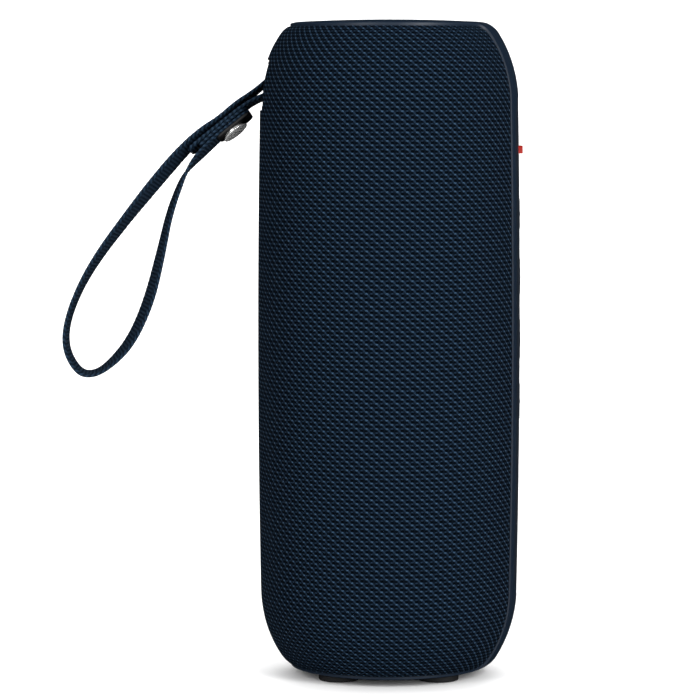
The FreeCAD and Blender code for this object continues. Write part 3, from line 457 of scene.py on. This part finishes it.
def eased(node, name, width, slot, body="housing", angle=32):
    """A copy of a CAD piece, merged, whose sharp edges are rounded over."""
    mesh = frame["nodes"][node].data.copy()
    mesh.name = name
    work = bmesh.new()
    work.from_mesh(mesh)
    bmesh.ops.remove_doubles(work, verts=work.verts, dist=2e-6)
    bmesh.ops.dissolve_limit(work, angle_limit=math.radians(0.4), verts=work.verts, edges=work.edges)
    work.to_mesh(mesh)
    work.free()
    for layer in list(mesh.uv_layers):
        mesh.uv_layers.remove(layer)
    mesh.shade_smooth()
    piece = bpy.data.objects.new(name, mesh)
    bpy.context.collection.objects.link(piece)
    mesh.materials.clear()
    mesh.materials.append(FINISHES[slot])
    ease = piece.modifiers.new("EasedEdges", "BEVEL")
    ease.width = width
    ease.segments = 3
    ease.limit_method = "ANGLE"
    ease.angle_limit = math.radians(angle)
    ease.use_clamp_overlap = True
    ease.harden_normals = True
    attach(piece, body)
    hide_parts(node)


# ---- woven wrap -----------------------------------------------------------------------------------

def frame_edge(radius):
    """Half angle of the smooth frame at a radius: the strip's edge, flared by a fillet into the disc."""
    flare_y = STRIP_HALF + FLARE
    flare_x = math.sqrt((DISC_RADIUS + FLARE) ** 2 - flare_y ** 2)
    centre = math.hypot(flare_x, flare_y)
    cosine = (radius ** 2 + centre ** 2 - FLARE ** 2) / (2 * radius * centre)
    flared = math.atan2(flare_y, flare_x) - np.arccos(np.clip(cosine, -1, 1))
    plain = np.arcsin(STRIP_HALF / radius)
    return np.where(radius < math.hypot(flare_x, STRIP_HALF), flared, plain)


def woven_wrap():
    """The cloth as a surface of turning: height and radius by arc length down the outline, angle across.

    Columns are set so that some follow the frame's edge and the sides of the pocket and port
    openings; rows are set so that some follow their tops and bottoms. The cloth dips by a thread
    where it meets the frame, as exp(-(distance / reach) squared), and by more towards each end.
    """
    run, radius, height = outline(WRAP_INSET)
    out = radius >= DISC_RADIUS
    run, radius, height = run[out], radius[out], height[out]

    def spaced(stops, step):
        pieces = [np.linspace(low, high, max(2, int(round(abs(high - low) / step))), endpoint=False)
                  for low, high in zip(stops, stops[1:])]
        return np.concatenate(pieces + [[stops[-1]]])

    down = np.argsort(height)
    at = [float(np.interp(level, height[down], run[down])) for level in
          (POCKET_HIGH, POCKET_LOW, PORT_HIGH, PORT_LOW)]
    ends = [run[0], run[0] + END_ROWS[0], run[0] + END_ROWS[1]]
    tails = [run[-1] - END_ROWS[1], run[-1] - END_ROWS[0], run[-1]]
    rows = spaced(ends + at + tails, WRAP_ROW)
    row_radius, row_height = np.interp(rows, run, radius), np.interp(rows, run, height)
    edge = frame_edge(row_radius)
    near = [np.arcsin(PORT_HALF / row_radius), np.arcsin(POCKET_HALF / row_radius)]
    tuck = EDGE_STEP / row_radius
    stops = [edge, edge + tuck, edge + 2 * tuck, math.pi / 2 - near[0], math.pi / 2 + near[0],
             math.pi - near[1], math.pi + near[1], 2 * math.pi - edge - 2 * tuck,
             2 * math.pi - edge - tuck, 2 * math.pi - edge]
    # Columns from each stop to the next.
    counts = [2, 2, 22, 14, 36, 12, 74, 2, 2]
    angle = np.concatenate(
        [low[:, None] + (high - low)[:, None] * np.linspace(0, 1, count, endpoint=False)[None, :]
         for low, high, count in zip(stops, stops[1:], counts)] + [stops[-1][:, None]], axis=1)
    sides = [np.minimum(angle - edge[:, None], 2 * math.pi - edge[:, None] - angle) * row_radius[:, None]]
    sides.append(np.minimum(rows - rows[0], rows[-1] - rows)[:, None] + 0 * angle)
    dip = EDGE_DIP * np.exp(-(np.minimum(*sides) / EDGE_REACH) ** 2)
    dip += END_DIP * np.exp(-(sides[1] / END_REACH) ** 2)
    slope = np.gradient(row_height, rows), np.gradient(row_radius, rows)
    outward = np.stack([-slope[0], slope[1]]) / np.hypot(*slope)
    reach = row_radius[:, None] - dip * outward[0][:, None]
    level = row_height[:, None] - dip * outward[1][:, None]
    points = np.stack([reach * np.cos(angle), reach * np.sin(angle), level], axis=-1)
    uv = np.stack([angle * BODY_RADIUS, rows[:, None] + 0 * angle], axis=-1)
    middle_row = (rows[1:] + rows[:-1]) / 2
    middle_height = np.interp(middle_row, rows, row_height)[:, None]
    middle = (angle[1:, 1:] + angle[:-1, :-1]) / 2
    wide = (near[0][1:] + near[0][:-1]) / 2, (near[1][1:] + near[1][:-1]) / 2
    port_level = abs(middle_height - (PORT_LOW + PORT_HIGH) / 2) < (PORT_HIGH - PORT_LOW) / 2
    port = (abs(middle - math.pi / 2) < wide[0][:, None]) & port_level
    pocket_level = abs(middle_height - (POCKET_LOW + POCKET_HIGH) / 2) < (POCKET_HIGH - POCKET_LOW) / 2
    pocket = (abs(middle - math.pi) < wide[1][:, None]) & pocket_level
    wrap = grid_piece("woven_wrap", points[:, ::-1], uv[:, ::-1], skip=(port | pocket)[:, ::-1],
                      material=FINISHES["woven_fabric"])
    thick = wrap.modifiers.new("Thick", "SOLIDIFY")
    thick.thickness = WRAP_THICKNESS
    thick.offset = -1
    thick.use_even_offset = False
    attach(wrap, "housing")
    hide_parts("fabric_cover")
    cells = np.empty(len(wrap.data.polygons))
    wrap.data.polygons.foreach_get("area", cells)


woven_wrap()
eased("control_frame", "smooth_frame", 0.45 * mm, "navy_frame")
eased("key_panel", "button_panel", 0.18 * mm, "navy_rubber")
eased("power_button", "power_bar", 0.75 * mm, "red_key", "power_key")
for key in KEY_LEVELS:
    eased(key + "_button", key + "_cap", 0.35 * mm, "navy_rubber", key + "_key")
eased("feet", "rubber_feet", 0.5 * mm, "black_rubber")
eased("strap_pocket", "pocket_cup", 0.25 * mm, "black_plastic")
eased("port_bezel", "port_rim", 0.25 * mm, "navy_frame")
eased("port_cover", "port_flap", 0.4 * mm, "navy_rubber", "port_door")


# ---- signs on the keys ----------------------------------------------------------------------------

def raised_sign(key, shape):
    """A sign moulded on a key: rings of one outline, from under the cap's face up over a soft rim.

    shape gives, for each angle, how far the outline lies from the middle, in millimetres.
    """
    turn = np.linspace(0, 2 * math.pi, 73)[:-1]
    far = shape(turn) * mm
    across, up = far * np.cos(turn), far * np.sin(turn)
    rings = [(1.0, -0.25), (1.0, 0.03), (0.93, 0.07), (0.6, 0.08), (0.02, 0.08)]
    points = []
    for share, lift in rings:
        level = MIDDLE + KEY_LEVELS[key] + up * share
        y = across * share
        points.append(np.stack([np.sqrt(side_radius(level) ** 2 - y ** 2) + lift * mm, y, level], axis=-1))
    sign = grid_piece(key + "_sign", np.array(points), around=True, ends=True, material=FINISHES["navy_frame"])
    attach(sign, key + "_key")


def cross(turn, arm=2.4, half=0.42):
    """A plus sign: the nearer of an arm's end and side, for four arms alike."""
    fold = np.abs((turn + math.pi / 4) % (math.pi / 2) - math.pi / 4)
    return np.minimum(arm / np.cos(fold), half / np.maximum(np.sin(fold), 1e-3))


def dash(turn, arm=2.4, half=0.42):
    """A minus sign: the nearer of a bar's end and side."""
    return np.minimum(arm / np.maximum(abs(np.cos(turn)), 1e-3), half / np.maximum(abs(np.sin(turn)), 1e-3))


def arrow(turn, inner=1.35):
    """A play triangle: a three-sided polygon with its corner to one side."""
    fold = (turn + math.pi / 3) % (2 * math.pi / 3) - math.pi / 3
    return np.minimum(inner / np.cos(fold + math.pi / 3 * np.sign(-fold)), 2.35)


def dot(turn):
    """A round pip."""
    return 0.75 + 0 * turn


for key, shape in (("volume_up", cross), ("volume_down", dash), ("play", arrow), ("pairing", dot)):
    raised_sign(key, shape)


# ---- wrist strap ----------------------------------------------------------------------------------

def smooth_line(route):
    """Run along, and points of, a smooth spline whose control points are the route."""
    curve = bpy.data.curves.new("route", "CURVE")
    curve.dimensions = "3D"
    curve.resolution_u = 24
    spline = curve.splines.new("NURBS")
    spline.points.add(len(route) - 1)
    for point, (x, z) in zip(spline.points, route):
        point.co = (x * mm, 0, z * mm, 1)
    spline.order_u = 3
    spline.use_endpoint_u = True
    holder = bpy.data.objects.new("route", curve)
    read = bpy.data.meshes.new_from_object(holder)
    places = np.empty(len(read.vertices) * 3)
    read.vertices.foreach_get("co", places)
    line = places.reshape(-1, 3)[:, [0, 2]]
    bpy.data.objects.remove(holder)
    bpy.data.meshes.remove(read)
    bpy.data.curves.remove(curve)
    run = np.concatenate([[0], np.cumsum(np.hypot(*np.diff(line, axis=0).T))])
    return run, line


def strap_band(name, route, leans, round_last, back=None, lift=0.0):
    """Webbing swept along a route: a flat section with ribs across its faces and a cord in each edge.

    The section's half thickness is (1 - |a|^6) ^ 0.5 of the full one at a fraction a of the half
    width; ribs add a cosine of the run to it. The last end narrows as a quarter circle over round_last.
    back keeps only that length of the end, and lift stands the band off its route along its face.
    """
    run, line = smooth_line(route)
    total = run[-1]
    at = np.linspace(0, total, int(total / STRAP_STEP))
    spot = np.stack([np.interp(at, run, line[:, 0]), np.interp(at, run, line[:, 1])], axis=-1)
    heading = np.gradient(spot, axis=0)
    heading /= np.linalg.norm(heading, axis=1)[:, None]
    places, degrees = np.array(leans).T
    lean = np.radians(np.interp(at / total, places, degrees))
    window = np.hanning(2 * int(LEAN_EASE / STRAP_STEP) + 1)
    half = len(window) // 2
    lean = np.convolve(np.pad(lean, half, mode="edge"), window / window.sum(), mode="valid")
    inner = np.stack([-heading[:, 1], 0 * lean, heading[:, 0]], axis=-1)
    front = np.array((0.0, -1.0, 0.0))
    face = inner * np.cos(lean)[:, None] + front * np.sin(lean)[:, None]
    wide = -front * np.cos(lean)[:, None] + inner * np.sin(lean)[:, None]
    share = np.sin(np.linspace(-1, 1, 17) * math.pi / 2)
    ring = np.concatenate([share, share[-2:0:-1]])
    side = np.concatenate([np.ones(len(share)), -np.ones(len(share) - 2)])
    fat = np.sqrt(np.clip(1 - np.abs(ring) ** 6, 0, 1))
    last = np.clip((total - at) / round_last, 0, 1)
    narrow = 1 - 0.5 * (1 - np.sqrt(np.clip(1 - (1 - last) ** 2, 0.02, 1)))
    rib = RIB_HEIGHT * np.cos(2 * math.pi * at / RIB_PITCH)[:, None] * (np.abs(ring) < RIB_SHARE)[None, :]
    cord = CORD_HEIGHT * np.cos(2 * math.pi * at / CORD_PITCH)[:, None] * (np.abs(ring) > CORD_SHARE)[None, :]
    thick = (STRAP_HALF_THICK - RIB_HEIGHT + rib + cord) * fat[None, :] * side[None, :]
    span = STRAP_HALF_WIDTH * ring[None, :] * narrow[:, None]
    middle = np.stack([spot[:, 0], 0 * lean, spot[:, 1]], axis=-1) + face * lift
    points = middle[:, None] + face[:, None] * thick[..., None] + wide[:, None] * span[..., None]
    ring_uv = np.concatenate([ring, ring[:1]]) * STRAP_HALF_WIDTH
    uv = np.stack(np.broadcast_arrays(at[:, None], ring_uv[None, :]), axis=-1)
    kept = at >= total - (back or total)
    band = grid_piece(name, points[kept], uv[kept], around=True, ends=True, material=FINISHES["webbing"])
    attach(band, "strap")
    return band, middle, heading, face, wide, at


strap, strap_line, strap_heading, strap_face, strap_wide, strap_at = strap_band(
    "wrist_strap", STRAP_ROUTE, STRAP_LEAN, STRAP_ROUND)
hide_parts("strap_webbing")
sewn, *_ = strap_band("strap_sewn_end", SEWN_ROUTE, SEWN_LEAN, STRAP_ROUND)
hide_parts("strap_stub")
fold, *_ = strap_band("strap_tab_fold", STRAP_ROUTE, STRAP_LEAN, FOLD_ROUND, FOLD_LENGTH, FOLD_LIFT)


def on_tab(back, along, wide, off):
    """A point on the tab: along it, across it and off its lower face, from a place back from its tip."""
    spot = np.searchsorted(strap_at, strap_at[-1] - back)
    spot = min(spot, len(strap_at) - 1)
    heading = np.array((strap_heading[spot][0], 0, strap_heading[spot][1]))
    down = -strap_face[spot]
    return (strap_line[spot] + heading * np.asarray(along)[..., None]
            + strap_wide[spot] * np.asarray(wide)[..., None] + down * np.asarray(off)[..., None])


def tab_lining():
    """Black tape under the tab: a plate whose outline is a rounded oblong, with a soft lower rim."""
    turn = np.linspace(0, 2 * math.pi, 97)[:-1]
    reach = np.cos(turn), np.sin(turn)
    rings = [(0.97, 0.45), (1.0, 0.6), (1.0, 1.12), (0.95, 1.28), (0.5, 1.3), (0.02, 1.3)]
    points = []
    for share, off in rings:
        along = np.sign(reach[0]) * abs(reach[0]) ** 0.35 * TAPE_HALF_LENGTH * share
        across = np.sign(reach[1]) * abs(reach[1]) ** 0.35 * TAPE_HALF_WIDTH * share
        points.append(on_tab(TAPE_BACK, along, across, off * mm + 0 * along))
    lining = grid_piece("tab_tape", np.array(points), around=True, ends=True, material=FINISHES["black_tape"])
    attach(lining, "strap")
    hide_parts("tab_lining")
    return lining


def snap_part(name, profile, slot, node):
    """A part of the snap, turned from (radius, height off the tab's middle) pairs in millimetres."""
    turn = np.linspace(0, 2 * math.pi, 65)[:-1]
    points = [on_tab(TAB_BACK, radius * mm * np.cos(turn), radius * mm * np.sin(turn), off * mm + 0 * turn)
              for radius, off in profile]
    part = grid_piece(name, np.array(points), around=True, ends=True, material=FINISHES[slot])
    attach(part, "strap")
    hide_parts(node)
    return part


lining = tab_lining()
cap = snap_part("snap_cap_dome", [
    (0.02, 1.2), (2.9, 1.2), (3.15, 1.35), (3.25, 1.6), (3.15, 1.85), (3.2, 1.95), (3.75, 1.95),
    (3.95, 2.05), (4.0, 2.2), (3.92, 2.38), (3.6, 2.48), (2.6, 2.56), (1.5, 2.62), (0.8, 2.64), (0.02, 2.65)],
    "bright_metal", "snap_cap")
stud = snap_part("snap_rivet", [
    (0.02, -0.5), (2.6, -0.55), (2.7, -0.75), (2.5, -1.0), (1.6, -1.2), (1.5, -1.6), (0.02, -1.65)],
    "bright_metal", "snap_stud")

# ---- floor, light and camera ----------------------------------------------------------------------

def studio_floor():
    """A pale matt floor that sweeps up far behind: its rise grows as the square of the way back."""
    back = np.linspace(-1.6, 3.4, 60)
    across = np.linspace(-3.0, 3.0, 12)
    rise = np.clip(back - 1.2, 0, None) ** 2 * 0.75
    points = np.stack(np.broadcast_arrays(across[None, :], back[:, None], rise[:, None]), axis=-1)
    floor = grid_piece("studio_floor", points)
    paper = Finish("studio_paper", Specular_IOR_Level=0.1)
    tooth = paper.noise(60.0, 4.0)
    paper.colour(paper.ramp(tooth, (0.3, (0.93, 0.93, 0.93)), (0.7, (0.96, 0.96, 0.96))))
    paper.roughness(paper.spread(tooth, 0.95, 0.85))
    floor.data.materials.append(paper.material)
    floor.visible_glossy = False


def softbox(name, place, aim, width, height, watts, mirrored=True):
    lamp = bpy.data.lights.new(name, "AREA")
    lamp.shape = "RECTANGLE"
    lamp.size, lamp.size_y = width, height
    lamp.energy = watts
    holder = bpy.data.objects.new(name, lamp)
    holder.location = place
    holder.rotation_euler = (Vector(aim) - Vector(place)).to_track_quat("-Z", "Y").to_euler()
    holder.visible_glossy = mirrored
    bpy.context.collection.objects.link(holder)


studio_floor()
softbox("left_box", (-0.62, -0.95, 0.50), (0, 0, 0.15), 0.26, 1.00, 8)
softbox("right_box", (0.66, -0.92, 0.50), (0, 0, 0.15), 0.26, 1.00, 16)
softbox("top_box", (0.0, 0.3, 1.6), (0, 0.2, 0.0), 1.6, 1.2, 9, False)
softbox("back_box", (0.0, 1.9, 1.5), (0, 1.8, 0.0), 2.4, 1.2, 40, False)

world = bpy.data.worlds.new("studio")
bpy.context.scene.world = world
world.use_nodes = True
world.node_tree.nodes["Background"].inputs["Color"].default_value = (1, 1, 1, 1)
world.node_tree.nodes["Background"].inputs["Strength"].default_value = 0.70
world.cycles_visibility.glossy = False
bpy.context.scene.view_settings.view_transform = "Standard"

lens = bpy.data.cameras.new("camera")
lens.sensor_width = 36
lens.lens = 182.2
camera = bpy.data.objects.new("camera", lens)
camera.location = (0, -1.0168, 0.1752)
camera.rotation_euler = (Vector((-0.0112, 0, 0.0934)) - camera.location).to_track_quat("-Z", "Y").to_euler()
bpy.context.collection.objects.link(camera)
bpy.context.scene.camera = camera
